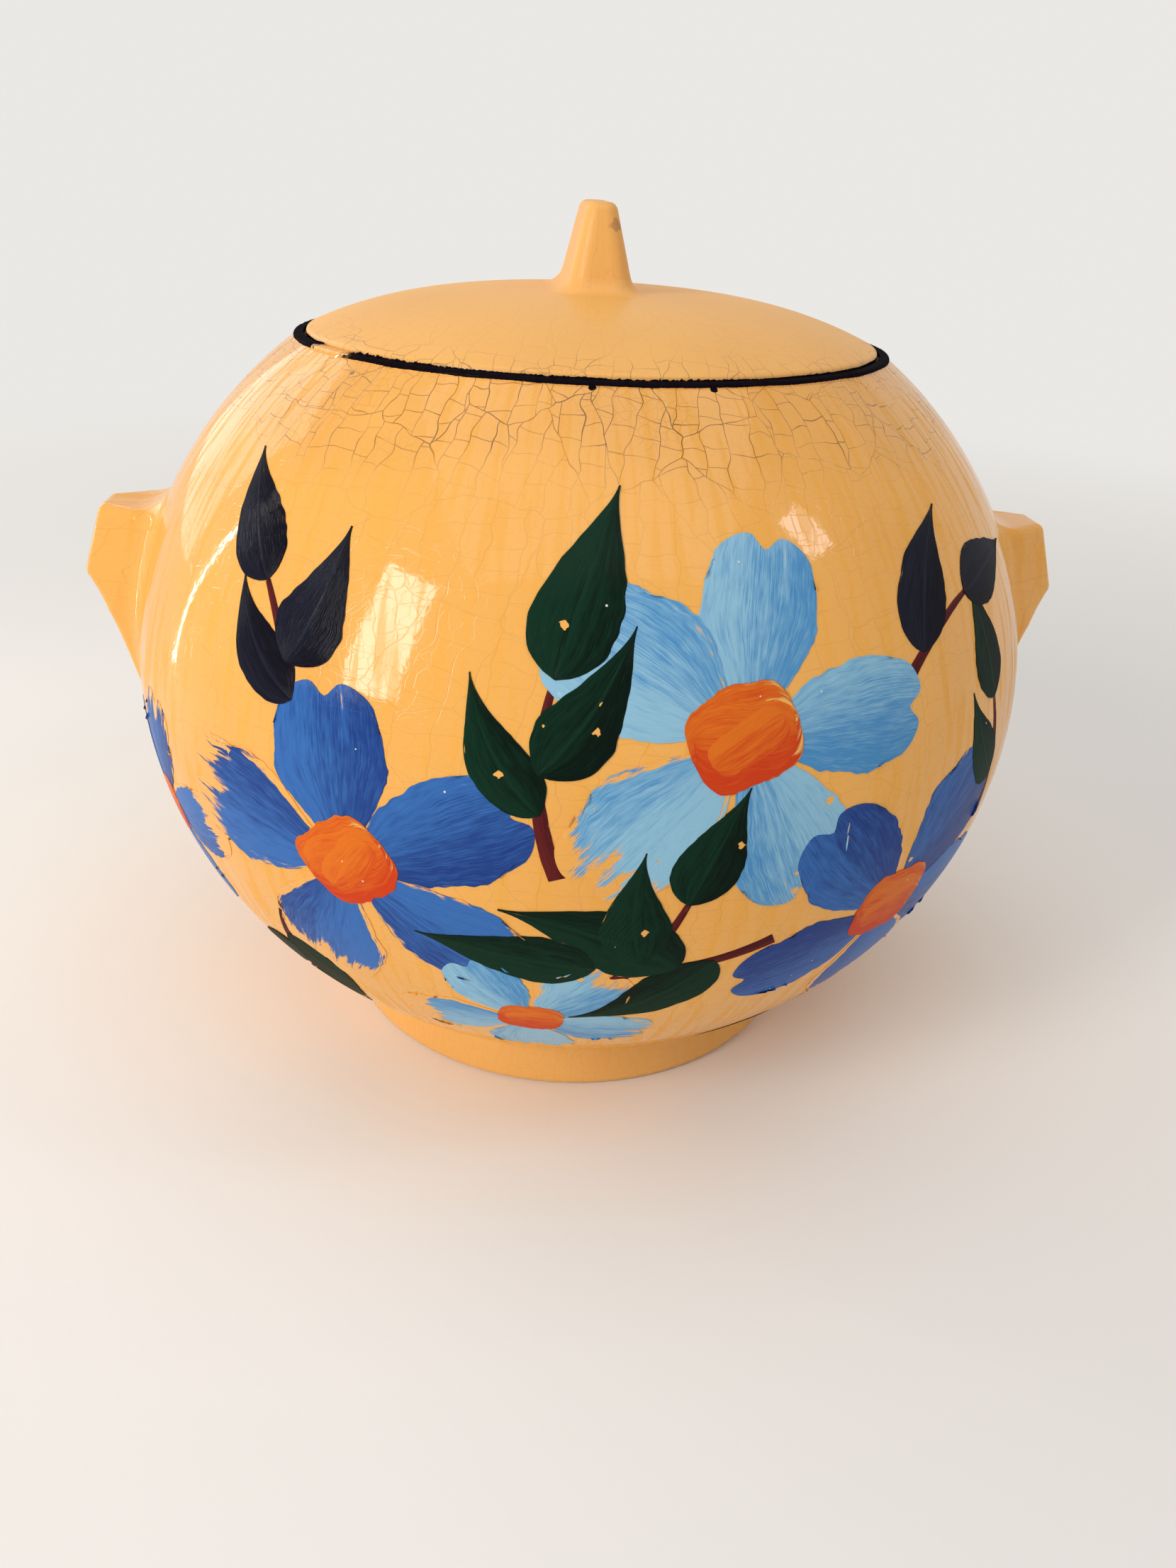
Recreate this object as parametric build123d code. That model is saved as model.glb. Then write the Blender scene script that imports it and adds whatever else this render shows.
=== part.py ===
from build123d import *
from math import asin, degrees, radians, sqrt, tan
import os

# A biscuit jar in glazed earthenware: a squat globe of a bowl with a foot ring, two lug
# handles cast in one with it, and a loose domed lid with a finger tab.
# Millimetres, +Z up, the lugs along X. The origin is the middle of the foot's resting face.

# Bowl: half an ellipse above the widest level, and half of another below it.
BELLY_RADIUS = 118.0
BELLY_LEVEL = 102.7
SHOULDER_RISE = 105.8
BASE_DROP = 107.8
WALL = 6.0
FLOOR_FILLET = 10.0

# Foot ring, leaning out towards the table, with a shallow recess inside it.
FOOT_RADIUS = 67.8
FOOT_LEAN = 1.8
FOOT_WIDTH = 7.0
FOOT_RECESS = 3.0
FOOT_ROUNDING = 2.0
FOOT_NECK_FILLET = 2.0

# Rim: a raised bead around the mouth, and inside it the gallery that the lid rests on.
LIP_RADIUS = 73.8
LIP_RISE = 1.2
LIP_WIDTH = 2.4
LIP_ROUNDING = 0.8
SEAT_DEPTH = 3.0
GALLERY_WIDTH = 6.2
GALLERY_THICKNESS = 4.2
GALLERY_ROUNDING = 1.6
GALLERY_FILLET = 4.0

# Lugs: heights are from the widest level, and the rest from the belly's radius.
LUG_PROUD = 14.2
LUG_TOP_RISE = 39.8
LUG_KNEE_RISE = 21.3
LUG_TAIL_DROP = 32.0
LUG_TAIL_SINK = 12.0
LUG_TOP_SLOPE = -1.0
LUG_HOLLOW_HIGH_PROUD = 1.0
LUG_HOLLOW_HIGH_RISE = 8.0
LUG_HOLLOW_LOW_PROUD = 5.0
LUG_HOLLOW_LOW_DROP = 14.0
LUG_END_LEAN = 6.2
LUG_END_WIDTH = 12.5
LUG_WIDTH = 24.5
LUG_CHAMFER = 10.5
LUG_FLARE = 8.0
LUG_EDGE_ROUNDING = 2.6
LUG_ROOT_FILLET = 12.0
LUG_SINK = 30.0

# Lid: the play is the clearance to the piece that it sits in.
LID_PLAY = 0.7
SKIRT_PLAY = 1.5
CROWN_RISE = 14.5
EDGE_RISE = 3.8
LID_WALL = 5.0
SKIRT_DROP = 8.0
SKIRT_WALL = 4.0
LID_EDGE_ROUNDING = 1.3
SKIRT_ROUNDING = 1.5
SKIRT_FILLET = 3.0

# Finger tab on the lid, long in Y and thin in X, drawn in towards its top.
TAB_HEIGHT = 19.2
TAB_BASE_THICKNESS = 16.4
TAB_TOP_THICKNESS = 6.8
TAB_BASE_LENGTH = 38.0
TAB_TOP_LENGTH = 28.0
TAB_BASE_CORNER = 5.0
TAB_TOP_CORNER = 3.0
TAB_TOP_ROUNDING = 2.2
TAB_ROOT_FILLET = 5.0
TAB_SINK = 2.0

# What follows from the sizes above.
MOUTH_RADIUS = LIP_RADIUS - LIP_WIDTH - GALLERY_WIDTH
LID_RADIUS = LIP_RADIUS - LIP_WIDTH - LID_PLAY
SKIRT_RADIUS = MOUTH_RADIUS - SKIRT_PLAY
SKIRT_INNER = SKIRT_RADIUS - SKIRT_WALL
FLOOR_LEVEL = FOOT_RECESS + WALL


def belly_level(radius, inset=0.0, upper=True):
    """Height at which the bowl, or the surface inset from it, has this radius."""
    rise = SHOULDER_RISE if upper else -BASE_DROP
    half_height = rise - inset if upper else rise + inset
    return BELLY_LEVEL + half_height * sqrt(1 - (radius / (BELLY_RADIUS - inset)) ** 2)


def belly_radius(level, inset=0.0):
    """Radius of the bowl, or of the surface inset from it, at this height."""
    half_height = (SHOULDER_RISE if level > BELLY_LEVEL else BASE_DROP) - inset
    return (BELLY_RADIUS - inset) * sqrt(1 - ((level - BELLY_LEVEL) / half_height) ** 2)


RIM_LEVEL = belly_level(LIP_RADIUS)
LIP_TOP = RIM_LEVEL + LIP_RISE
SEAT_LEVEL = LIP_TOP - SEAT_DEPTH
CROWN_TOP = SEAT_LEVEL + CROWN_RISE


def belly_curve(low, high, inset=0.0):
    """The bowl's outline between two heights, one each side of the widest level."""
    lower = BASE_DROP - inset
    upper = SHOULDER_RISE - inset
    start = degrees(asin((low - BELLY_LEVEL) / lower))
    finish = degrees(asin((high - BELLY_LEVEL) / upper))
    centre = (0, BELLY_LEVEL)
    radius = BELLY_RADIUS - inset
    below = EllipticalCenterArc(centre, radius, lower, start_angle=start, arc_size=-start)
    above = EllipticalCenterArc(centre, radius, upper, start_angle=0, arc_size=finish)
    return below + above


def rounded(face, radius, *corners):
    """A flat outline with the named corners rounded."""
    for corner in corners:
        vertex = face.vertices().sort_by_distance((*corner, 0))[0]
        face = fillet(vertex, radius)
    return face


def turned(face):
    """An outline of radius and height, spun about the jar's axis with its seam at the back."""
    return revolve(Plane.YZ * face, Axis.Z)


def bowl_outside():
    """The bowl, foot ring and lip as one solid form."""
    neck = FOOT_RADIUS - FOOT_LEAN
    neck_level = belly_level(neck, upper=False)
    ring_inside = FOOT_RADIUS - FOOT_WIDTH
    curve = belly_curve(neck_level, RIM_LEVEL)
    rest = Polyline(
        curve @ 1,
        (LIP_RADIUS, LIP_TOP),
        (0, LIP_TOP),
        (0, FOOT_RECESS),
        (ring_inside, FOOT_RECESS),
        (ring_inside, 0),
        (FOOT_RADIUS, 0),
        (neck, neck_level),
    )
    face = make_face(curve + rest)
    face = rounded(face, LIP_ROUNDING, (LIP_RADIUS, LIP_TOP))
    face = rounded(face, FOOT_ROUNDING, (FOOT_RADIUS, 0))
    face = rounded(face, FOOT_ROUNDING / 2, (ring_inside, 0), (ring_inside, FOOT_RECESS))
    face = rounded(face, FOOT_NECK_FILLET, (neck, neck_level))
    return turned(face)


def bowl_cavity():
    """The space inside the bowl, through the gallery and out of the mouth."""
    gallery_under = SEAT_LEVEL - GALLERY_THICKNESS
    root = belly_radius(gallery_under, WALL)
    lip_inner = LIP_RADIUS - LIP_WIDTH
    above = LIP_TOP + WALL
    curve = belly_curve(FLOOR_LEVEL, gallery_under, WALL)
    rest = Polyline(
        (root, gallery_under),
        (MOUTH_RADIUS, gallery_under),
        (MOUTH_RADIUS, SEAT_LEVEL),
        (lip_inner, SEAT_LEVEL),
        (lip_inner, above),
        (0, above),
        (0, FLOOR_LEVEL),
        curve @ 0,
    )
    face = make_face(curve + rest)
    face = rounded(face, GALLERY_ROUNDING, (MOUTH_RADIUS, gallery_under), (MOUTH_RADIUS, SEAT_LEVEL))
    face = rounded(face, GALLERY_FILLET, (root, gallery_under))
    face = rounded(face, FLOOR_FILLET, (belly_radius(FLOOR_LEVEL, WALL), FLOOR_LEVEL))
    return turned(face)


def lug_plan(level, reach):
    """The lug seen from above at one height: a tab with chamfered corners and flared sides."""
    root = BELLY_RADIUS - LUG_SINK
    end = LUG_END_WIDTH / 2
    shoulder = LUG_WIDTH / 2
    half = [(reach, end), (reach - LUG_CHAMFER, shoulder), (root, shoulder + LUG_FLARE)]
    other = [(x, -y) for x, y in reversed(half)]
    return Plane.XY.offset(level) * make_face(Polyline(*half, *other, close=True))


def lug():
    """One lug, before it is blended into the bowl: a leaning tab cut to its side outline."""
    knee = (BELLY_RADIUS + LUG_PROUD, BELLY_LEVEL + LUG_KNEE_RISE)
    top = (knee[0] - LUG_END_LEAN, BELLY_LEVEL + LUG_TOP_RISE)
    lean = LUG_END_LEAN / (LUG_TOP_RISE - LUG_KNEE_RISE)
    root = BELLY_RADIUS - LUG_SINK
    top_root = (root, top[1] + (top[0] - root) * tan(radians(LUG_TOP_SLOPE)))
    tail = (BELLY_RADIUS - LUG_TAIL_SINK, BELLY_LEVEL - LUG_TAIL_DROP)

    levels = (tail[1] - WALL, top_root[1] + WALL)
    tab = loft([lug_plan(z, top[0] + (top[1] - z) * lean) for z in levels], ruled=True)

    # The underside runs in from the knee in a hollow sweep that dies into the belly.
    high = (BELLY_RADIUS + LUG_HOLLOW_HIGH_PROUD, BELLY_LEVEL + LUG_HOLLOW_HIGH_RISE)
    low = (BELLY_RADIUS + LUG_HOLLOW_LOW_PROUD, BELLY_LEVEL - LUG_HOLLOW_LOW_DROP)
    underside = Bezier(knee, high, low, tail)
    side = make_face(underside + Polyline(tail, (root, tail[1]), top_root, top, knee))
    body = tab & extrude(Plane.XZ * side, LUG_WIDTH + LUG_FLARE, both=True)

    shown = [e for e in body.edges() if (e @ 0.5).X > root + 1 and (e @ 0.5).Z > tail[1] + 1]
    return fillet(shown, LUG_EDGE_ROUNDING)


def on_bowl(edge):
    """True for an edge where a lug meets the bowl."""
    point = edge @ 0.5
    beside = abs(point.X) > BELLY_RADIUS / 2 and abs(point.Y) < LUG_WIDTH + LUG_FLARE
    near = abs(sqrt(point.X**2 + point.Y**2) - belly_radius(point.Z)) < 0.05
    return beside and near and point.Z > FLOOR_LEVEL + WALL


def jar():
    right = lug()
    left = right.rotate(Axis.Z, 180)
    body = bowl_outside() + right + left
    body = fillet([e for e in body.edges() if on_bowl(e)], LUG_ROOT_FILLET)
    return body - bowl_cavity()


def crown(radius, drop=0.0):
    """The lid's dome: flat in the middle, falling with the cube of the radius."""
    top = CROWN_TOP - drop
    fall = (CROWN_RISE - EDGE_RISE) * (radius / LID_RADIUS) ** 3
    return Bezier((0, top), (radius / 3, top), (2 * radius / 3, top), (radius, top - fall))


def lid_dome():
    """The lid without its tab: dome, edge, and the skirt that centres it in the mouth."""
    outer = crown(LID_RADIUS)
    inner = crown(SKIRT_INNER, LID_WALL)
    skirt_foot = SEAT_LEVEL - SKIRT_DROP
    edge = Polyline(
        outer @ 1,
        (LID_RADIUS, SEAT_LEVEL),
        (SKIRT_RADIUS, SEAT_LEVEL),
        (SKIRT_RADIUS, skirt_foot),
        (SKIRT_INNER, skirt_foot),
        inner @ 1,
    )
    face = make_face(outer + edge + inner + Line(inner @ 0, outer @ 0))
    face = rounded(face, LID_EDGE_ROUNDING, (LID_RADIUS, SEAT_LEVEL + EDGE_RISE), (LID_RADIUS, SEAT_LEVEL))
    face = rounded(face, SKIRT_ROUNDING, (SKIRT_RADIUS, skirt_foot), (SKIRT_INNER, skirt_foot))
    face = rounded(face, SKIRT_FILLET, tuple(inner @ 1)[:2])
    return turned(face)


def finger_tab():
    """The tab that the lid is lifted by, its foot sunk in the dome."""
    def section(height):
        share = height / TAB_HEIGHT
        thickness = TAB_BASE_THICKNESS + (TAB_TOP_THICKNESS - TAB_BASE_THICKNESS) * share
        length = TAB_BASE_LENGTH + (TAB_TOP_LENGTH - TAB_BASE_LENGTH) * share
        corner = TAB_BASE_CORNER + (TAB_TOP_CORNER - TAB_BASE_CORNER) * share
        return Plane.XY.offset(CROWN_TOP + height) * RectangleRounded(thickness, length, corner)

    tab = loft([section(-TAB_SINK), section(TAB_HEIGHT)], ruled=True)
    return fillet(tab.faces().sort_by(Axis.Z)[-1].edges(), TAB_TOP_ROUNDING)


def at_tab_foot(edge):
    """True for an edge where the tab meets the dome."""
    point = edge @ 0.5
    return abs(point.Z - CROWN_TOP) < TAB_SINK / 2 and sqrt(point.X**2 + point.Y**2) < TAB_BASE_LENGTH


def lid():
    body = lid_dome() + finger_tab()
    return fillet([e for e in body.edges() if at_tab_foot(e)], TAB_ROOT_FILLET)


os.makedirs("parts", exist_ok=True)
for name, shape in {"jar": jar(), "lid": lid()}.items():
    shape.label = name
    export_step(shape, f"parts/{name}.step")
    box = shape.bounding_box()
    print(name, f"{shape.volume / 1000:.1f} cm3", box.min, box.max)
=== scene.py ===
from math import atan2, copysign, cos, exp, pi, radians, sin, sqrt

import bmesh
import bpy
from mathutils import Matrix, Quaternion, Vector, noise


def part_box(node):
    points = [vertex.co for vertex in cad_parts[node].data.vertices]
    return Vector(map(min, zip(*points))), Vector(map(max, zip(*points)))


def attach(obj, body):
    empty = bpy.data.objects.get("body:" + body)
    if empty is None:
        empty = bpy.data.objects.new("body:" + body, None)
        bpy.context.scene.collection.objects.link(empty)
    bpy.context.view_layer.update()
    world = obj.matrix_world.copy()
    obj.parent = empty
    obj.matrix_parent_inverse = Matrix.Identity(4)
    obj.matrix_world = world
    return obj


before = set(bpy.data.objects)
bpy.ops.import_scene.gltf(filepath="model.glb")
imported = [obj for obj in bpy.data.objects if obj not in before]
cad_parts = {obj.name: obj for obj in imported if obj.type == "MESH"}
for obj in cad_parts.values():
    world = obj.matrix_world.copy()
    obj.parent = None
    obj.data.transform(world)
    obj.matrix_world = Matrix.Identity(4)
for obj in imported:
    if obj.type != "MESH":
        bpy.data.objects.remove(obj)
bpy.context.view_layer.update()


# ---- Bowl -----------------------------------------------------------------------------------
# The bowl is slip-cast earthenware, dipped in a butter-yellow glaze that has crazed all over.
# Handling has worked brown stain into the cracks around the mouth. The foot ring is wiped
# bare where it stands, and a line of black paint runs around the lip.

LIP_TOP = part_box("jar")[1].z
LIP_RISE = 0.0012
BELLY_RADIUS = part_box("jar")[1].y
BELLY_LEVEL = 0.1027
SHOULDER_RISE = 0.1058
BASE_DROP = 0.1078

GLAZE_YELLOW = (0.90, 0.44, 0.09, 1)
GLAZE_AMBER = (0.74, 0.32, 0.045, 1)
CRACK_STAIN = (0.16, 0.050, 0.010, 1)
PIT_BROWN = (0.10, 0.04, 0.015, 1)
SHEEN_PALE_GLAZE = (0.95, 0.66, 0.34, 1)
BARE_CLAY = (0.62, 0.46, 0.30, 1)
LINE_BLACK = (0.006, 0.004, 0.007, 1)

# How many plates, strips, cross cuts and small cells the crazing has in a metre, and how wide
# the crack around each is, as a share of its cell.
PLATE_CELLS, PLATE_CRACK = 60, 0.008
STRIP_CELLS, STRIP_CRACK = 195, 0.024
CROSS_CELLS, CROSS_CRACK = 175, 0.022
FINE_CELLS, FINE_CRACK = 420, 0.04

# The cracks wander, at this grain to a metre and over this many metres. Each plate's strips have
# their own slope, and the slopes cover this range.
WANDER_GRAIN = 130
WANDER = (0.0046, 0.0046, 0.0)
LEAN = 0.6

# How dark a crack is: a stained long one, a stained fine one, and one with no stain, as painted shade.
STAINED_CRACK = 0.95
STAINED_FINE_CRACK = 0.25
UNSTAINED_CRACK_SHADE = 0.13

# The radius of the ring that the crazing is laid out on, and how far up the wall a radian goes.
CRAZING_RADIUS = 0.085
WALL_RADIUS = BELLY_RADIUS * 0.95

# Pits: how many cells a metre has, a pit's radius as a share of its cell, and the share of the
# cells that have one.
LARGE_PITS = (34, 0.022, 0.5)
SMALL_PITS = (90, 0.03, 0.25)
PIT_DARKNESS = 0.7

# The stain's lower edge: its level, how far it fades to either side of that, and the range of
# heights that it drifts over.
STAIN_LEVEL = 0.1705
STAIN_FADE = 0.005
STAIN_DRIFT = 0.016

# The foot is paled by thin glaze and by a painted highlight, and bare under; each fades between two levels.
PALE_FOOT_BELOW = (0.011, 0.013)
BARE_BELOW = (0.0001, 0.0004)
SHEEN_PALING = 0.15

# Use has left streaks in the gloss, which run up and down the bowl.
WIPE_STRETCH = (1, 0.08, 1)
WIPE_GRAIN = 480
WIPED_GLOSS = (0.35, 0.85)

RELIEF_HEIGHT = 0.00012
GLOSS_ROUGHNESS = 0.06
CLAY_ROUGHNESS = 0.8
LINE_ROUGHNESS = 0.6
LINE_MATTNESS = 0.97

# The black line's lower edge and how far the bristles break it, a patch where the line has worn
# off, and two spots where it ran.
LINE_LEVEL = LIP_TOP - LIP_RISE + 0.0003
LINE_BRUSHED = 0.0003
WORN_PLACE = (-0.0617, -0.0405, LIP_TOP - 0.0006)
WORN_RADIUS = 0.0085
RUNS = ((-0.0058, -0.0737, LIP_TOP - LIP_RISE), (0.0191, -0.0713, LIP_TOP - LIP_RISE))
RUN_RADIUS = 0.0009


def node(tree, kind, feeds=None, **settings):
    """A shader node. Feeds gives its inputs, by name or number: a value, or the socket that drives it."""
    made = tree.nodes.new(kind)
    for name, value in settings.items():
        setattr(made, name, value)
    for name, value in (feeds or {}).items():
        if isinstance(value, bpy.types.NodeSocket):
            tree.links.new(value, made.inputs[name])
        else:
            made.inputs[name].default_value = value
    return made


def maths(tree, operation, *feeds):
    return node(tree, "ShaderNodeMath", dict(enumerate(feeds)), operation=operation).outputs[0]


def vector_maths(tree, operation, *feeds):
    return node(tree, "ShaderNodeVectorMath", dict(enumerate(feeds)), operation=operation).outputs[0]


def ramp(tree, value, low, high, start=0.0, end=1.0):
    """Start below low, end above high, and a soft step between them."""
    feeds = {"Value": value, "From Min": low, "From Max": high, "To Min": start, "To Max": end}
    return node(tree, "ShaderNodeMapRange", feeds, interpolation_type="SMOOTHSTEP").outputs["Result"]


def mixed(tree, share, under, over):
    feeds = {0: share, 6: under, 7: over}
    return node(tree, "ShaderNodeMix", feeds, data_type="RGBA").outputs[2]


def grain(tree, place, scale, detail=2.0):
    feeds = {"Vector": place, "Scale": scale, "Detail": detail}
    return node(tree, "ShaderNodeTexNoise", feeds).outputs["Fac"]


def cracks(tree, place, cells, width):
    """1 along the edges of a flat network of cells, and 0 inside them. Width is a share of a cell."""
    feeds = {"Vector": place, "Scale": cells}
    network = node(tree, "ShaderNodeTexVoronoi", feeds, feature="DISTANCE_TO_EDGE", voronoi_dimensions="2D")
    return ramp(tree, network.outputs["Distance"], width * 0.3, width, 1.0, 0.0)


def cuts(tree, way, cells, width):
    """Cracks across one direction, at uneven steps along it, and a chance value for each step."""
    feeds = {"W": way, "Scale": cells, "Randomness": 0.8}
    network = node(tree, "ShaderNodeTexVoronoi", feeds, feature="DISTANCE_TO_EDGE", voronoi_dimensions="1D")
    steps = node(tree, "ShaderNodeTexVoronoi", feeds, voronoi_dimensions="1D")
    chance = node(tree, "ShaderNodeSeparateColor", {"Color": steps.outputs["Color"]}).outputs[0]
    return ramp(tree, network.outputs["Distance"], width * 0.3, width, 1.0, 0.0), chance


def dots(tree, place, cells, radius, share, metric="EUCLIDEAN"):
    """Spots, one in each of a share of the cells. Radius is a share of a cell."""
    scatter = node(tree, "ShaderNodeTexVoronoi", {"Vector": place, "Scale": cells}, distance=metric)
    chosen = node(tree, "ShaderNodeSeparateColor", {"Color": scatter.outputs["Color"]}).outputs[0]
    dot = ramp(tree, scatter.outputs["Distance"], radius * 0.85, radius, 1.0, 0.0)
    return maths(tree, "MULTIPLY", dot, maths(tree, "LESS_THAN", chosen, share))


def height_of(tree, place):
    return node(tree, "ShaderNodeSeparateXYZ", {"Vector": place}).outputs["Z"]


def glaze_group():
    """The glaze's colour and relief. The cracks lie along Where, and hold the given share of stain."""
    tree = bpy.data.node_groups.new("crazed_glaze", "ShaderNodeTree")
    tree.interface.new_socket("Where", in_out="INPUT", socket_type="NodeSocketVector")
    tree.interface.new_socket("Stain", in_out="INPUT", socket_type="NodeSocketFloat")
    tree.interface.new_socket("Colour", in_out="OUTPUT", socket_type="NodeSocketColor")
    tree.interface.new_socket("Relief", in_out="OUTPUT", socket_type="NodeSocketFloat")
    given = node(tree, "NodeGroupInput").outputs
    place = node(tree, "ShaderNodeTexCoord").outputs["Object"]

    tone = ramp(tree, grain(tree, place, 16), 0.35, 0.75, 0.0, 0.35)
    colour = mixed(tree, tone, GLAZE_YELLOW, GLAZE_AMBER)

    # Cracks wander, so the cells are looked up at places pushed about by a fine grain.
    wander = node(tree, "ShaderNodeTexNoise", {"Vector": given["Where"], "Scale": WANDER_GRAIN, "Detail": 1})
    push = vector_maths(tree, "SUBTRACT", wander.outputs["Color"], (0.5, 0.5, 0.5))
    moved = vector_maths(tree, "MULTIPLY_ADD", push, WANDER, given["Where"])

    # The glaze first cracks into plates, each plate into strips that lean its own way, and last
    # each strip across, so the short cracks stop at the long ones.
    plates = cracks(tree, moved, PLATE_CELLS, PLATE_CRACK)
    feeds = {"Vector": moved, "Scale": PLATE_CELLS}
    plate = node(tree, "ShaderNodeTexVoronoi", feeds, voronoi_dimensions="2D").outputs["Color"]
    plate = node(tree, "ShaderNodeSeparateColor", {"Color": plate}).outputs[0]
    lean = maths(tree, "MULTIPLY_ADD", plate, LEAN, -LEAN / 2)
    spot = node(tree, "ShaderNodeSeparateXYZ", {"Vector": moved}).outputs
    aside = maths(tree, "MULTIPLY_ADD", spot["Y"], lean, maths(tree, "ADD", spot["X"], plate))
    strips, strip = cuts(tree, aside, STRIP_CELLS, STRIP_CRACK)
    upward = maths(tree, "ADD", spot["Y"], strip)
    upward = maths(tree, "SUBTRACT", upward, maths(tree, "MULTIPLY", spot["X"], lean))
    across, _ = cuts(tree, upward, CROSS_CELLS, CROSS_CRACK)
    large = maths(tree, "MAXIMUM", plates, strips)
    large = maths(tree, "MAXIMUM", large, maths(tree, "MULTIPLY", across, 0.85))
    small = cracks(tree, moved, FINE_CELLS, FINE_CRACK)

    patchy = ramp(tree, grain(tree, place, 95), 0.3, 0.6, 0.4, 1.0)
    deep = maths(tree, "MULTIPLY", maths(tree, "MULTIPLY", large, patchy), STAINED_CRACK)
    branching = ramp(tree, grain(tree, place, 60), 0.50, 0.62, 0.0, STAINED_FINE_CRACK)
    shallow = maths(tree, "MULTIPLY", small, branching)
    stained = maths(tree, "MULTIPLY", maths(tree, "MAXIMUM", deep, shallow), given["Stain"])
    # Painted shade: cracks with no stain are darkened a little with the stain colour all over the glaze.
    crack_shade = maths(tree, "MAXIMUM", large, maths(tree, "MULTIPLY", small, 0.4))
    crack_shade = maths(tree, "MULTIPLY", crack_shade, UNSTAINED_CRACK_SHADE)
    colour = mixed(tree, maths(tree, "MAXIMUM", stained, crack_shade), colour, CRACK_STAIN)
    pits = maths(tree, "MAXIMUM", dots(tree, place, *LARGE_PITS), dots(tree, place, *SMALL_PITS))
    colour = mixed(tree, maths(tree, "MULTIPLY", pits, PIT_DARKNESS), colour, PIT_BROWN)

    ripple = maths(tree, "MULTIPLY", grain(tree, place, 45, 1), 1.2)
    ripple = maths(tree, "MULTIPLY_ADD", grain(tree, place, 700, 1), 0.14, ripple)
    lines = maths(tree, "MULTIPLY", maths(tree, "MAXIMUM", large, maths(tree, "MULTIPLY", small, 0.5)), 0.10)
    relief = maths(tree, "SUBTRACT", ripple, lines)
    relief = maths(tree, "SUBTRACT", relief, maths(tree, "MULTIPLY", pits, 0.6))
    node(tree, "NodeGroupOutput", {"Colour": colour, "Relief": relief})
    return tree


glaze = glaze_group()


def material(name):
    """An empty material: the material, its node tree and its Principled node."""
    made = bpy.data.materials.new(name)
    made.use_nodes = True
    return made, made.node_tree, made.node_tree.nodes["Principled BSDF"]


def glazed(tree, where, stain):
    """The colour and the relief of the glaze, crazed along where, with this share of stain."""
    surface = node(tree, "ShaderNodeGroup", {"Where": where, "Stain": stain}, node_tree=glaze).outputs
    return surface["Colour"], surface["Relief"]


def unrolled(tree, place, radius, up):
    """A place laid out flat: how far round it is on a ring of this radius, and how far up, in metres."""
    spot = node(tree, "ShaderNodeSeparateXYZ", {"Vector": place}).outputs
    turn = maths(tree, "ARCTAN2", spot["X"], maths(tree, "MULTIPLY", spot["Y"], -1.0))
    around = maths(tree, "MULTIPLY", turn, radius)
    return node(tree, "ShaderNodeCombineXYZ", {"X": around, "Y": up}).outputs[0]


def round_the_bowl(tree, place):
    """A place on the bowl laid out flat, with its way up the curved wall measured along the wall."""
    rise = maths(tree, "DIVIDE", maths(tree, "SUBTRACT", height_of(tree, place), BELLY_LEVEL), BASE_DROP)
    rise = maths(tree, "ARCSINE", maths(tree, "MINIMUM", maths(tree, "MAXIMUM", rise, -1.0), 1.0))
    return unrolled(tree, place, CRAZING_RADIUS, maths(tree, "MULTIPLY", rise, WALL_RADIUS))


def near(tree, place, spot, radius):
    """1 at a spot and 0 past its radius, with a ragged edge."""
    away = node(tree, "ShaderNodeVectorMath", {0: place, 1: spot}, operation="DISTANCE").outputs["Value"]
    ragged = maths(tree, "MULTIPLY_ADD", grain(tree, place, 700), radius * 0.9, radius * -0.45)
    return ramp(tree, maths(tree, "ADD", away, ragged), radius * 0.8, radius, 1.0, 0.0)


def finish(tree, shader, colour, roughness, gloss, relief):
    """Colour and roughness, a clear gloss over them, and their bump, relief times RELIEF_HEIGHT."""
    tree.links.new(colour, shader.inputs["Base Color"])
    tree.links.new(roughness, shader.inputs["Roughness"])
    tree.links.new(gloss, shader.inputs["Coat Weight"])
    bump = node(tree, "ShaderNodeBump", {"Height": relief, "Strength": 1.0, "Distance": RELIEF_HEIGHT})
    tree.links.new(bump.outputs["Normal"], shader.inputs["Normal"])
    tree.links.new(bump.outputs["Normal"], shader.inputs["Coat Normal"])
    shader.inputs["Specular IOR Level"].default_value = 0.0
    shader.inputs["Coat Roughness"].default_value = GLOSS_ROUGHNESS


def uneven_edge(tree, place, height, brushed):
    """A painted line's edge: a height that wanders, and is broken by the bristles in places."""
    sway = maths(tree, "MULTIPLY_ADD", grain(tree, place, 90, 1), 0.0006, height - 0.0003)
    dry = ramp(tree, grain(tree, place, 38, 1), 0.42, 0.6, 0.0002, brushed)
    bristles = maths(tree, "SUBTRACT", grain(tree, place, 1300, 3), 0.5)
    return maths(tree, "MULTIPLY_ADD", bristles, dry, sway)


def unworn(tree, place, line):
    """The black line, less the patch that has worn off."""
    left = maths(tree, "SUBTRACT", 1.0, near(tree, place, WORN_PLACE, WORN_RADIUS))
    return maths(tree, "MULTIPLY", line, left)


def glaze_roughness(tree, place):
    return maths(tree, "MULTIPLY_ADD", grain(tree, place, 300), 0.1, 0.3)


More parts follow.
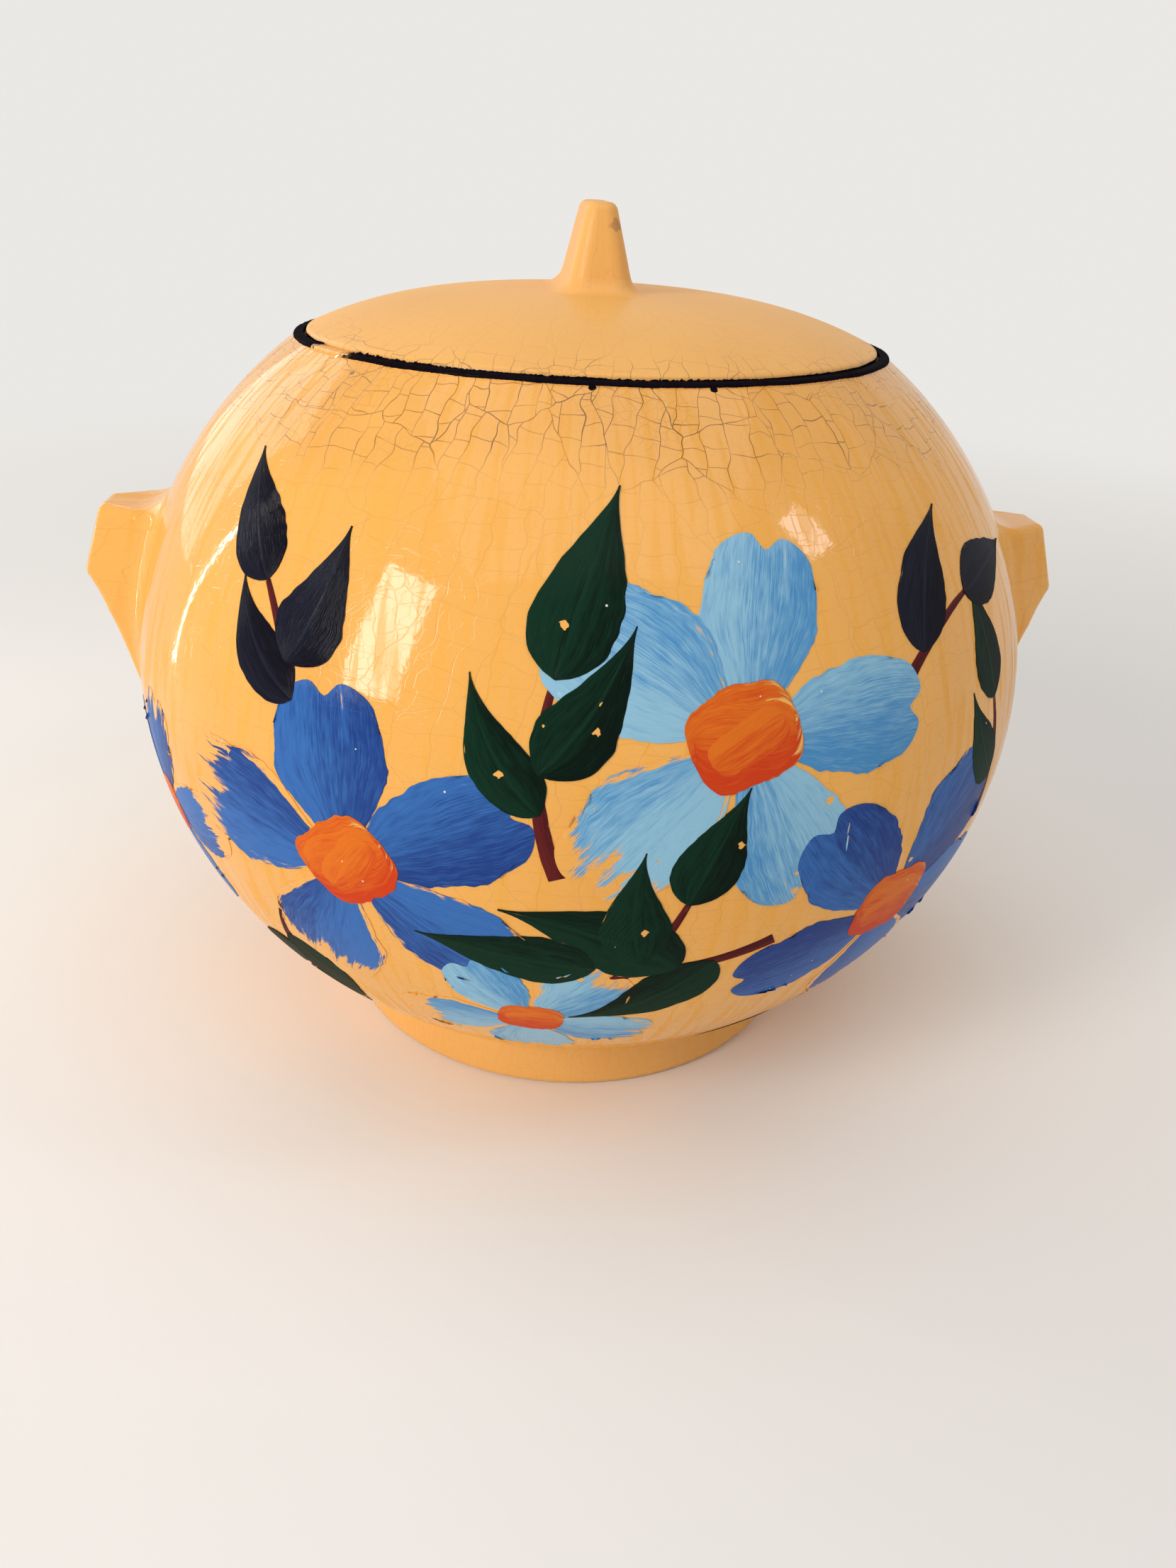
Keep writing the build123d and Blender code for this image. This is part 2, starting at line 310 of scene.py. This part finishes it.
def bowl_material():
    made, tree, shader = material("bowl_glaze")
    place = node(tree, "ShaderNodeTexCoord").outputs["Object"]
    height = height_of(tree, place)
    drift = maths(tree, "MULTIPLY_ADD", grain(tree, place, 42), STAIN_DRIFT, -STAIN_DRIFT / 2)
    level = maths(tree, "ADD", height, drift)
    band = ramp(tree, level, STAIN_LEVEL - STAIN_FADE, STAIN_LEVEL + STAIN_FADE)
    flat = round_the_bowl(tree, place)
    colour, relief = glazed(tree, flat, band)
    haze = maths(tree, "MULTIPLY", band, ramp(tree, grain(tree, place, 45), 0.35, 0.7, 0.02, 0.08))
    colour = mixed(tree, haze, colour, CRACK_STAIN)

    # Painted highlight: the foot is paled towards a pale glaze colour, partly for its thinner glaze.
    thin = ramp(tree, height, *PALE_FOOT_BELOW, SHEEN_PALING, 0.0)
    colour = mixed(tree, thin, colour, SHEEN_PALE_GLAZE)
    bare = ramp(tree, height, *BARE_BELOW, 1.0, 0.0)
    colour = mixed(tree, bare, colour, BARE_CLAY)
    black = maths(tree, "GREATER_THAN", height, uneven_edge(tree, place, LINE_LEVEL, LINE_BRUSHED))
    black = unworn(tree, place, black)
    for spot in RUNS:
        black = maths(tree, "MAXIMUM", black, near(tree, place, spot, RUN_RADIUS))
    colour = mixed(tree, black, colour, LINE_BLACK)

    dull = maths(tree, "MULTIPLY", black, LINE_ROUGHNESS)
    dull = maths(tree, "MAXIMUM", dull, maths(tree, "MULTIPLY", bare, CLAY_ROUGHNESS))
    rough = maths(tree, "MAXIMUM", glaze_roughness(tree, place), dull)
    streaks = grain(tree, vector_maths(tree, "MULTIPLY", flat, WIPE_STRETCH), WIPE_GRAIN)
    wiped = ramp(tree, streaks, 0.38, 0.52, *WIPED_GLOSS)
    matt = maths(tree, "MAXIMUM", bare, maths(tree, "MULTIPLY", black, LINE_MATTNESS))
    gloss = maths(tree, "MULTIPLY", maths(tree, "SUBTRACT", 1.0, matt), wiped)
    finish(tree, shader, colour, rough, gloss, relief)
    return made


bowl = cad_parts["jar"]
bowl.data.materials.clear()
bowl.data.materials.append(bowl_material())


# ---- Petals ---------------------------------------------------------------------------------
# The flowers are painted cold, in thick oil colour over the fired glaze. Each petal is one pull
# of a flat brush loaded with two blues. It is pressed down near the heart, and lifted at the
# notched tip, where the bristles part and run dry.

# How far the first coat's face stands off the glaze, how much further each later coat does, and
# how thick the film is, with part of it sunk in the glaze.
FIRST_COAT = 0.00006
COAT = 0.000015
FILM = 0.0004
STROKE_ROWS = 40
STROKE_COLUMNS = 24

# How far a stroke's edges stray, as a share of its width, and how many times in its length.
SLOW_STRAY, SLOW_PACE = 0.14, 3
QUICK_STRAY, QUICK_PACE = 0.06, 13

# The bristles' marks: how many fit in a millimetre along the stroke, and across it.
FINE_MARKS = (0.10, 3.2, 0)
BROAD_MARKS = (0.035, 0.30, 0)
SMEARS = (0.20, 0.75, 0)

# Chips: how many cells a metre has, a chip's radius as a share of its cell, how ragged it is in
# metres, and the gloss of the glaze that it bares.
CHIP_CELLS = 160
CHIP_RADIUS = 0.2
CHIP_SHAKE = (0.0016, 0.0016, 0.0016)
BARED_GLOSS = 0.8

# Specks of dust and painted glints: pale dots, given as the pits are.
SPECKS = (230, 0.06, 0.12)
DUST_AND_GLINT = (0.7, 0.7, 0.66, 1)

# How far from the flower's middle a petal starts and how wide it is, as shares of its length, and
# how many degrees it may stand off its place in the ring.
PETAL_START = 0.13
PETAL_WIDTH = 0.72
PETAL_SWAY = 16

# The seed makes each stroke's chances the same in every run.
noise.seed_set(42)

SKY_PALE = (0.28, 0.53, 0.70, 1)
SKY_BLUE = (0.06, 0.26, 0.55, 1)
COBALT_PALE = (0.035, 0.15, 0.46, 1)
COBALT = (0.008, 0.040, 0.22, 1)

# Each flower has its azimuth in degrees from the front, its level and its petals' length in
# metres, the way its first petal points in degrees, and its number of petals.
SKY_FLOWERS = ((12, 0.127, 0.041, 14, 5), (-9, 0.052, 0.026, 40, 5))
COBALT_FLOWERS = ((-28, 0.094, 0.040, -10, 5), (35, 0.077, 0.040, 30, 5), (-64, 0.080, 0.030, 12, 5))


def aim(azimuth, level):
    """A place on the bowl, as the direction in which it lies on a unit sphere."""
    rise = level - BELLY_LEVEL
    up = rise / (SHOULDER_RISE if rise > 0 else BASE_DROP)
    flat = sqrt(1 - up * up)
    return Vector((sin(radians(azimuth)) * flat, -cos(radians(azimuth)) * flat, up))


def compass(at):
    """Which ways are up and right on the bowl."""
    right = Vector((0, 0, 1)).cross(at).normalized()
    return at.cross(right), right


def walked(at, heading, ahead, aside=0.0):
    """The place reached by going ahead on a heading, clockwise from up, and aside to its right."""
    up, right = compass(at)
    upward = ahead * cos(heading) - aside * sin(heading)
    rightward = ahead * sin(heading) + aside * cos(heading)
    way = up * upward + right * rightward
    turn = way.length / BELLY_RADIUS
    return at * cos(turn) + way.normalized() * sin(turn)


def heading_to(at, there):
    """The heading that leads from one place to another close by."""
    up, right = compass(at)
    return atan2(there.dot(right), there.dot(up))


def curled(ahead, aside, curl):
    """Where a point of a flat, straight stroke goes when the stroke curls to its right."""
    if not curl:
        return ahead, aside
    turn = curl * ahead
    return sin(turn) / curl - aside * sin(turn), (1 - cos(turn)) / curl + aside * cos(turn)


def on_glaze(at, lift):
    """The point above a place on the bowl's surface."""
    tall = SHOULDER_RISE if at.z > 0 else BASE_DROP
    point = Vector((at.x * BELLY_RADIUS, at.y * BELLY_RADIUS, at.z * tall + BELLY_LEVEL))
    outward = Vector((at.x / BELLY_RADIUS, at.y / BELLY_RADIUS, at.z / tall)).normalized()
    return point + outward * lift


def brushwork():
    """A mesh for one colour's strokes. Stroke maps a stroke's own shares, and bristle its millimetres."""
    bm = bmesh.new()
    bm.loops.layers.uv.new("stroke")
    bm.loops.layers.uv.new("bristle")
    bm.verts.layers.float.new("tint")
    bm.verts.layers.float.new("dryness")
    return bm


def stroke(bm, at, heading, length, width, outline, bend=0.0, coat=0, tint=0.5, dryness=0.5):
    """One brush stroke: a flat grid, shaped to its outline, curled, and laid onto the bowl."""
    stroke_map = bm.loops.layers.uv["stroke"]
    bristle_map = bm.loops.layers.uv["bristle"]
    tint_of = bm.verts.layers.float["tint"]
    dryness_of = bm.verts.layers.float["dryness"]
    seed = len(bm.verts) * 0.37
    grid = bmesh.ops.create_grid(bm, x_segments=STROKE_ROWS, y_segments=STROKE_COLUMNS, size=0.5)
    share = {vert: (vert.co.x + 0.5, -2 * vert.co.y) for vert in grid["verts"]}
    for face in {face for vert in share for face in vert.link_faces}:
        for loop in face.loops:
            along, across = share[loop.vert]
            loop[stroke_map].uv = (along, across)
            loop[bristle_map].uv = (along * length * 1000 + seed, across * width * 500 + seed)
    for vert, (along, across) in share.items():
        ahead, aside = outline(along, across)
        wobble = 1 + SLOW_STRAY * noise.noise(Vector((seed, along * SLOW_PACE, copysign(3, across))))
        wobble += QUICK_STRAY * noise.noise(Vector((seed, along * QUICK_PACE, copysign(9, across))))
        ahead, aside = curled(ahead * length, aside * wobble * width / 2, bend / length)
        vert.co = on_glaze(walked(at, heading, ahead, aside), FIRST_COAT + coat * COAT)
        vert[tint_of] = tint
        vert[dryness_of] = dryness


def petal_outline(along, across):
    """Narrow at the heart, with a broad, notched tip."""
    reach = 0.76 + 0.24 * sqrt(max(0, 1 - across**2)) - 0.10 * exp(-((across / 0.2) ** 2))
    spread = 0.18 + 0.82 * sin(pi / 2 * min(1, along / 0.72)) - 0.35 * max(0, along - 0.72)
    return along * reach, across * spread


def flower(bm, order, azimuth, level, length, turn, petals):
    """A ring of petals, each a little different, and none under the heart."""
    middle = aim(azimuth, level)
    for number in range(petals):
        chance = noise.noise_vector(Vector((azimuth, level * 100, number * 2.7)))
        heading = radians(turn + 360 * number / petals + PETAL_SWAY * chance.x)
        start = walked(middle, heading, length * PETAL_START)
        size = length * (1 + 0.2 * chance.y)
        width = size * (PETAL_WIDTH + 0.2 * chance.x)
        tint, dryness = 0.5 + 0.8 * chance.z, 0.35 + 1.1 * chance.y
        coat = 1 + number + 0.4 * order
        stroke(bm, start, heading, size, width, petal_outline, 0.5 * chance.z, coat, tint, dryness)


def paint(name, deep, pale, dry, wear, sheen, vein=0.0):
    """Oil paint in two tones, streaked by the bristles, thin where the brush lifts, and chipped."""
    made, tree, shader = material(name)
    place = node(tree, "ShaderNodeTexCoord").outputs["Object"]
    share = node(tree, "ShaderNodeUVMap", uv_map="stroke").outputs["UV"]
    share = node(tree, "ShaderNodeSeparateXYZ", {"Vector": share})
    along, across = share.outputs["X"], share.outputs["Y"]
    bristle = node(tree, "ShaderNodeUVMap", uv_map="bristle").outputs["UV"]
    tint = node(tree, "ShaderNodeAttribute", attribute_name="tint").outputs["Fac"]
    dryness = node(tree, "ShaderNodeAttribute", attribute_name="dryness").outputs["Fac"]

    fine = grain(tree, vector_maths(tree, "MULTIPLY", bristle, FINE_MARKS), 1, 3)
    broad = grain(tree, vector_maths(tree, "MULTIPLY", bristle, BROAD_MARKS), 1, 1)
    smear = grain(tree, vector_maths(tree, "MULTIPLY", bristle, SMEARS), 1, 2)
    side = ramp(tree, maths(tree, "MULTIPLY_ADD", broad, 1.6, maths(tree, "SUBTRACT", across, 0.8)), -1, 1)
    shade = maths(tree, "MULTIPLY_ADD", fine, 1.3, maths(tree, "MULTIPLY_ADD", side, 0.6, -1.35))
    shade = maths(tree, "MULTIPLY_ADD", smear, 0.8, shade)
    shade = ramp(tree, maths(tree, "MULTIPLY_ADD", tint, 0.8, shade), 0, 1)
    middle = ramp(tree, maths(tree, "ABSOLUTE", across), 0.0, 0.1, vein, 0.0)
    colour = mixed(tree, maths(tree, "SUBTRACT", shade, middle), pale, deep)

    rim = ramp(tree, maths(tree, "ABSOLUTE", across), 0.8, 1.0, 0.0, 0.7)
    lifted = maths(tree, "MAXIMUM", ramp(tree, along, 0.55, 1.0), rim)
    load = maths(tree, "MULTIPLY_ADD", broad, 0.35, maths(tree, "MULTIPLY", fine, 0.25))
    load = maths(tree, "MULTIPLY_ADD", smear, 0.4, load)
    bare = maths(tree, "MULTIPLY", maths(tree, "MULTIPLY", lifted, dryness), dry)
    cover = ramp(tree, maths(tree, "SUBTRACT", load, bare), 0.24, 0.31)
    shake = node(tree, "ShaderNodeTexNoise", {"Vector": place, "Scale": 500, "Detail": 2}).outputs["Color"]
    ragged = vector_maths(tree, "MULTIPLY_ADD", shake, CHIP_SHAKE, place)
    flaking = ramp(tree, grain(tree, place, 32), 0.38, 0.58, 0.0, wear)
    chips = dots(tree, ragged, CHIP_CELLS, CHIP_RADIUS, flaking, "MANHATTAN")
    cover = maths(tree, "MULTIPLY", cover, maths(tree, "SUBTRACT", 1.0, chips))

    glaze_colour, glaze_relief = glazed(tree, round_the_bowl(tree, place), 0.0)
    colour = mixed(tree, cover, glaze_colour, colour)
    # Pale specks over the paint: partly dust and partly painted glints.
    colour = mixed(tree, dots(tree, place, *SPECKS), colour, DUST_AND_GLINT)
    relief = maths(tree, "MULTIPLY_ADD", middle, 0.5, maths(tree, "MULTIPLY_ADD", fine, 0.6, 0.25))
    relief = maths(tree, "MULTIPLY", cover, relief)
    relief = maths(tree, "MULTIPLY_ADD", glaze_relief, 0.5, relief)
    rough = maths(tree, "MULTIPLY_ADD", fine, 0.25, 0.3)
    gloss = maths(tree, "MULTIPLY_ADD", cover, sheen - BARED_GLOSS, BARED_GLOSS)
    finish(tree, shader, colour, rough, gloss, relief)
    return made


def laid(name, bm, look):
    """The strokes as one piece on the bowl: a film whose underside is sunk in the glaze."""
    mesh = bpy.data.meshes.new(name)
    for face in bm.faces:
        face.smooth = True
    for edge in bm.edges:
        edge.smooth = not edge.is_boundary
    bm.to_mesh(mesh)
    bm.free()
    mesh.materials.append(look)
    made = bpy.data.objects.new(name, mesh)
    bpy.context.scene.collection.objects.link(made)
    made.modifiers.new("film", "SOLIDIFY").thickness = FILM
    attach(made, "jar")


sky = brushwork()
for order, petal_ring in enumerate(SKY_FLOWERS):
    flower(sky, order, *petal_ring)
laid("sky_petals", sky, paint("sky_paint", SKY_BLUE, SKY_PALE, dry=0.60, wear=0.35, sheen=0.4))

cobalt = brushwork()
for order, petal_ring in enumerate(COBALT_FLOWERS):
    flower(cobalt, order, *petal_ring)
cobalt_paint = paint("cobalt_paint", COBALT, COBALT_PALE, dry=0.50, wear=0.15, sheen=0.35)
laid("cobalt_petals", cobalt, cobalt_paint)


# ---- Stems and leaves -----------------------------------------------------------------------
# The stems are single pulls of a rigger brush in thin maroon. The leaves are lance-shaped, laid
# to either side by turns with a round brush. Some are dark green, and some are nearly black navy.

MAROON = (0.05, 0.005, 0.009, 1)
MAROON_THIN = (0.13, 0.014, 0.014, 1)
LEAF_GREEN = (0.001, 0.007, 0.004, 1)
LEAF_LIGHT = (0.004, 0.030, 0.015, 1)
NAVY = (0.004, 0.003, 0.008, 1)
NAVY_LIGHT = (0.012, 0.014, 0.028, 1)

# The first leaf stands this far along its stem, and the rest share out the span beyond it. A leaf
# leaves the stem at about this many degrees, and its width is a share of its length.
STEM_WIDTH = 0.0036
FIRST_LEAF = 0.35
LEAF_SPAN = 0.60
LEAF_ANGLE = 44
LEAF_WIDTH = 0.44

# Each spray has its azimuth, level, heading, length and bend, how many leaves it carries, their
# length, and whether they are navy. Angles are in degrees and sizes in metres.
SPRAYS = (
    (-33, 0.114, -8, 0.042, -28, 3, 0.034, True),
    (-6, 0.098, -20, 0.046, 35, 3, 0.040, False),
    (31, 0.130, 40, 0.034, 30, 2, 0.037, True),
    (18, 0.078, 245, 0.040, 30, 3, 0.038, False),
    (52, 0.088, 5, 0.036, -20, 2, 0.034, False),
    (-40, 0.070, 205, 0.034, -25, 3, 0.036, False),
    (42, 0.050, 200, 0.030, 20, 2, 0.032, True),
    (0, 0.068, 40, 0.030, -20, 2, 0.032, False),
)


def leaf_outline(along, across):
    """A lance shape, widest before its middle, drawn out to a long thin tip."""
    return along, across * (0.02 + 4.4 * along**0.75 * (1 - along) ** 1.7)


def stem_outline(along, across):
    """Narrowing steadily to its end."""
    return along, across * (1 - 0.6 * along)


def spray(stems, leaves, azimuth, level, heading, length, bend, count, leaf, order):
    """A curved stem with leaves to either side by turns, and one at its end."""
    start, heading, bend = aim(azimuth, level), radians(heading), radians(bend)
    stroke(stems, start, heading, length, STEM_WIDTH, stem_outline, bend)
    for number in range(count):
        chance = noise.noise_vector(Vector((azimuth, level * 100, number * 3.1)))
        last = number == count - 1
        along = length if last else length * (FIRST_LEAF + LEAF_SPAN * number / count)
        place = walked(start, heading, *curled(along, 0, bend / length))
        onward = walked(start, heading, *curled(along + 0.001, 0, bend / length))
        side = 0 if last else (1 if number % 2 else -1)
        way = heading_to(place, onward) + side * radians(LEAF_ANGLE + 14 * chance.x)
        size = leaf * (1 + 0.3 * chance.y)
        width = size * (LEAF_WIDTH + 0.12 * chance.x)
        curve, tint = 0.4 * chance.z - 0.6 * side, 0.5 + 0.7 * chance.z
        stroke(leaves, place, way, size, width, leaf_outline, curve, 6 + order + number % 3, tint, 0.3)


stems, green, navy = brushwork(), brushwork(), brushwork()
for order, (*layout, dark) in enumerate(SPRAYS):
    spray(stems, navy if dark else green, *layout, order % 3)
maroon_paint = paint("maroon_paint", MAROON, MAROON_THIN, dry=0.3, wear=0.1, sheen=0.15)
green_paint = paint("green_paint", LEAF_GREEN, LEAF_LIGHT, dry=0.36, wear=0.7, sheen=0.14, vein=0.8)
navy_paint = paint("navy_paint", NAVY, NAVY_LIGHT, dry=0.36, wear=0.2, sheen=0.14, vein=0.8)
laid("stems", stems, maroon_paint)
laid("green_leaves", green, green_paint)
laid("navy_leaves", navy, navy_paint)


# ---- Hearts ---------------------------------------------------------------------------------
# Each flower's heart is dabbed on in orange-red with the same flat brush, as one blunt patch, and
# yellower orange is dragged across it while it is wet.

ORANGE_RED = (0.62, 0.045, 0.004, 1)
ORANGE = (0.76, 0.17, 0.010, 1)

# The patch's size, as a share of the petals' length, and its turn from the first petal in degrees.
HEART_SIZE = 0.58
HEART_TURN = 60

# Each dab has its turn in degrees, its length and width as shares of the patch, its tint, and how
# dry its rim is. Only the first is dry enough for a ragged rim.
DABS = ((0, 1.0, 0.92, 0.8, 0.35), (9, 0.92, 0.66, 0.65, 0.0), (-14, 0.76, 0.42, 0.45, 0.0))


def dab_outline(along, across):
    """Nearly square, with rounded corners."""
    return along, across * max(0.0, 1 - abs(2 * along - 1) ** 4) ** 0.4


def heart(bm, azimuth, level, length, turn):
    """Blunt dabs across each other, which make up a patch with a ragged rim."""
    middle, size = aim(azimuth, level), length * HEART_SIZE
    for number, (swing, long, wide, tint, dryness) in enumerate(DABS):
        chance = noise.noise_vector(Vector((azimuth, level * 100, number * 1.9)))
        heading = radians(turn + HEART_TURN + swing + 12 * chance.x)
        start = walked(middle, heading, -size * long / 2, size * 0.08 * chance.y)
        tint += 0.3 * chance.z
        stroke(bm, start, heading, size * long, size * wide, dab_outline, 0.0, 9 + number, tint, dryness)


hearts = brushwork()
for *layout, _ in SKY_FLOWERS + COBALT_FLOWERS:
    heart(hearts, *layout)
laid("hearts", hearts, paint("orange_paint", ORANGE_RED, ORANGE, dry=0.55, wear=0.1, sheen=0.3))


# ---- Lid ------------------------------------------------------------------------------------
# The lid is cast and glazed like the bowl. Its edge was painted with the bowl's, in place, so
# the black line runs onto the lid. The tab has a rubbed patch near its top.

LID_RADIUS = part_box("lid")[1].x
LID_GLOSS = 0.6
MATT_GLOSS = 0.05
LID_GLOSS_ROUGHNESS = 0.35

# The black line's upper edge, how far the bristles break it, and how far in it can reach.
LID_LINE = LIP_TOP + 0.0002
LID_LINE_BRUSHED = 0.0012
LINE_DEPTH = 0.004

# The stain in the lid's cracks: where it starts, where it is full, how full, and how it drifts.
STAIN_START = LID_RADIUS - 0.009
STAIN_FULL = LID_RADIUS - 0.001
RIM_STAIN = 0.8
RIM_DRIFT = 0.012

TAB_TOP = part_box("lid")[1].z
RUB_PLACE = (0.0025, -0.0135, TAB_TOP - 0.005)
RUB_RADIUS = 0.0022
RUBBED_SHARE = 0.6
RUBBED_GLAZE = (0.42, 0.20, 0.09, 1)


def lid_material():
    made, tree, shader = material("lid_glaze")
    place = node(tree, "ShaderNodeTexCoord").outputs["Object"]
    flat = vector_maths(tree, "MULTIPLY", place, (1, 1, 0))
    radius = node(tree, "ShaderNodeVectorMath", {0: flat}, operation="LENGTH").outputs["Value"]
    drift = maths(tree, "MULTIPLY_ADD", grain(tree, place, 60), RIM_DRIFT, -RIM_DRIFT / 2)
    outward = maths(tree, "ADD", radius, drift)
    rim_stain = ramp(tree, outward, STAIN_START, STAIN_FULL, 0.0, RIM_STAIN)
    colour, relief = glazed(tree, unrolled(tree, place, LID_RADIUS, radius), rim_stain)
    # Painted sheen: the whole lid is paled a little towards the same pale glaze colour.
    colour = mixed(tree, SHEEN_PALING, colour, SHEEN_PALE_GLAZE)

    rub = maths(tree, "MULTIPLY", near(tree, place, RUB_PLACE, RUB_RADIUS), RUBBED_SHARE)
    colour = mixed(tree, rub, colour, RUBBED_GLAZE)

    edge = maths(tree, "GREATER_THAN", radius, LID_RADIUS - LINE_DEPTH)
    line_top = uneven_edge(tree, place, LID_LINE, LID_LINE_BRUSHED)
    low = maths(tree, "LESS_THAN", height_of(tree, place), line_top)
    black = unworn(tree, place, maths(tree, "MULTIPLY", low, edge))
    colour = mixed(tree, black, colour, LINE_BLACK)
    matt = maths(tree, "MAXIMUM", black, rub)
    dull = maths(tree, "MULTIPLY", matt, LINE_ROUGHNESS)
    rough = maths(tree, "MAXIMUM", glaze_roughness(tree, place), dull)
    gloss = maths(tree, "MULTIPLY_ADD", matt, MATT_GLOSS - LID_GLOSS, LID_GLOSS)
    finish(tree, shader, colour, rough, gloss, relief)
    shader.inputs["Coat Roughness"].default_value = LID_GLOSS_ROUGHNESS
    return made


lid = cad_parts["lid"]
lid.data.materials.clear()
lid.data.materials.append(lid_material())


# ---- Camera, floor and light ----------------------------------------------------------------
# The floor and the surround are plain and pale. A window's worth of soft light stands in front
# on the left, with a bright gap and a pale wall beyond it. A small light stands on the right, and
# a large one hangs overhead.

CAMERA_PLACE = (-0.0259, -0.3150, 0.2225)
CAMERA_HEADING = 5.45
CAMERA_PITCH = 27.4
CAMERA_ROLL = 2.68
CAMERA_LENS = 35.93
SENSOR_WIDTH = 36
NEAREST_SEEN = 0.01
FLOOR_SIZE = 40.0
FLOOR_ROUGHNESS = 0.9
FLOOR_SHINE = 0.2
PAPER = (0.90, 0.88, 0.85, 1)
FLOOR_FADE = (0.28, 1.1)
ROOM_LIGHT = 0.40
PAPER_GLOW = 0.92
AIM = Vector((0, 0, 0.11))
WARM = (1.0, 0.97, 0.93)
COOL = (0.93, 0.92, 1.0)
WHITE = (1, 1, 1)


def camera():
    data = bpy.data.cameras.new("camera")
    data.sensor_fit = "HORIZONTAL"
    data.sensor_width = SENSOR_WIDTH
    data.lens = CAMERA_LENS
    data.clip_start = NEAREST_SEEN
    made = bpy.data.objects.new("camera", data)
    turn = Matrix.Rotation(radians(-CAMERA_HEADING), 4, "Z")
    tilt = Matrix.Rotation(radians(90 - CAMERA_PITCH), 4, "X")
    roll = Matrix.Rotation(radians(CAMERA_ROLL), 4, "Z")
    made.matrix_world = Matrix.Translation(CAMERA_PLACE) @ turn @ tilt @ roll
    bpy.context.scene.collection.objects.link(made)
    bpy.context.scene.camera = made


def lamp(name, azimuth, elevation, distance, width, height, watts, colour, roll=0, spread=180):
    """A rectangular soft light that faces the jar. Its azimuth is from the jar's front towards +X."""
    data = bpy.data.lights.new(name, "AREA")
    data.shape = "RECTANGLE"
    data.size = width
    data.size_y = height
    data.energy = watts
    data.color = colour
    data.spread = radians(spread)
    made = bpy.data.objects.new(name, data)
    turn, tilt = radians(azimuth), radians(elevation)
    away = Vector((sin(turn) * cos(tilt), -cos(turn) * cos(tilt), sin(tilt)))
    made.location = AIM + away * distance
    facing = away.to_track_quat("Z", "Y") @ Quaternion((0, 0, 1), radians(roll))
    made.rotation_euler = facing.to_euler()
    bpy.context.scene.collection.objects.link(made)


def seen(tree):
    """1 for rays that show the surround, straight or in a gloss, and 0 for rays that light things."""
    path = node(tree, "ShaderNodeLightPath").outputs
    either = maths(tree, "MAXIMUM", path["Is Camera Ray"], path["Is Glossy Ray"])
    return maths(tree, "MAXIMUM", either, path["Is Transmission Ray"])


def floor():
    """A paper floor that fades into the surround, so that no horizon shows."""
    bm = bmesh.new()
    bmesh.ops.create_grid(bm, x_segments=1, y_segments=1, size=FLOOR_SIZE / 2)
    mesh = bpy.data.meshes.new("floor")
    bm.to_mesh(mesh)
    bm.free()
    made = bpy.data.objects.new("floor", mesh)
    bpy.context.scene.collection.objects.link(made)
    look, tree, shader = material("paper")
    shader.inputs["Base Color"].default_value = PAPER
    shader.inputs["Roughness"].default_value = FLOOR_ROUGHNESS
    shader.inputs["Specular IOR Level"].default_value = FLOOR_SHINE
    place = node(tree, "ShaderNodeTexCoord").outputs["Object"]
    away = node(tree, "ShaderNodeVectorMath", {0: place}, operation="LENGTH").outputs["Value"]
    fade = maths(tree, "MULTIPLY", ramp(tree, away, *FLOOR_FADE), seen(tree))
    glow = node(tree, "ShaderNodeEmission", {"Color": PAPER, "Strength": PAPER_GLOW})
    both = node(tree, "ShaderNodeMixShader", {0: fade, 1: shader.outputs[0], 2: glow.outputs[0]})
    tree.links.new(both.outputs[0], tree.nodes["Material Output"].inputs["Surface"])
    mesh.materials.append(look)


def room():
    """An even pale surround, which gives the object its fill light and its pale reflections."""
    world = bpy.data.worlds.new("room")
    bpy.context.scene.world = world
    world.use_nodes = True
    tree = world.node_tree
    shader = tree.nodes["Background"]
    shader.inputs["Color"].default_value = PAPER
    tree.links.new(ramp(tree, seen(tree), 0, 1, ROOM_LIGHT, PAPER_GLOW), shader.inputs["Strength"])


camera()
floor()
room()
lamp("window", -53, 22, 1.5, width=0.36, height=0.8, watts=11, colour=WARM)
lamp("gap", -105, 10, 0.6, width=0.007, height=0.45, watts=0.18, colour=WARM, roll=-15, spread=120)
lamp("wall", -136, 20, 1.8, width=1.0, height=1.1, watts=5, colour=WARM)
lamp("side", 70, 42, 1.6, width=0.22, height=0.30, watts=1.5, colour=COOL)
lamp("ceiling", 0, 78, 2.5, width=3.0, height=3.0, watts=25, colour=WHITE)

bpy.context.scene.view_settings.view_transform = "Standard"
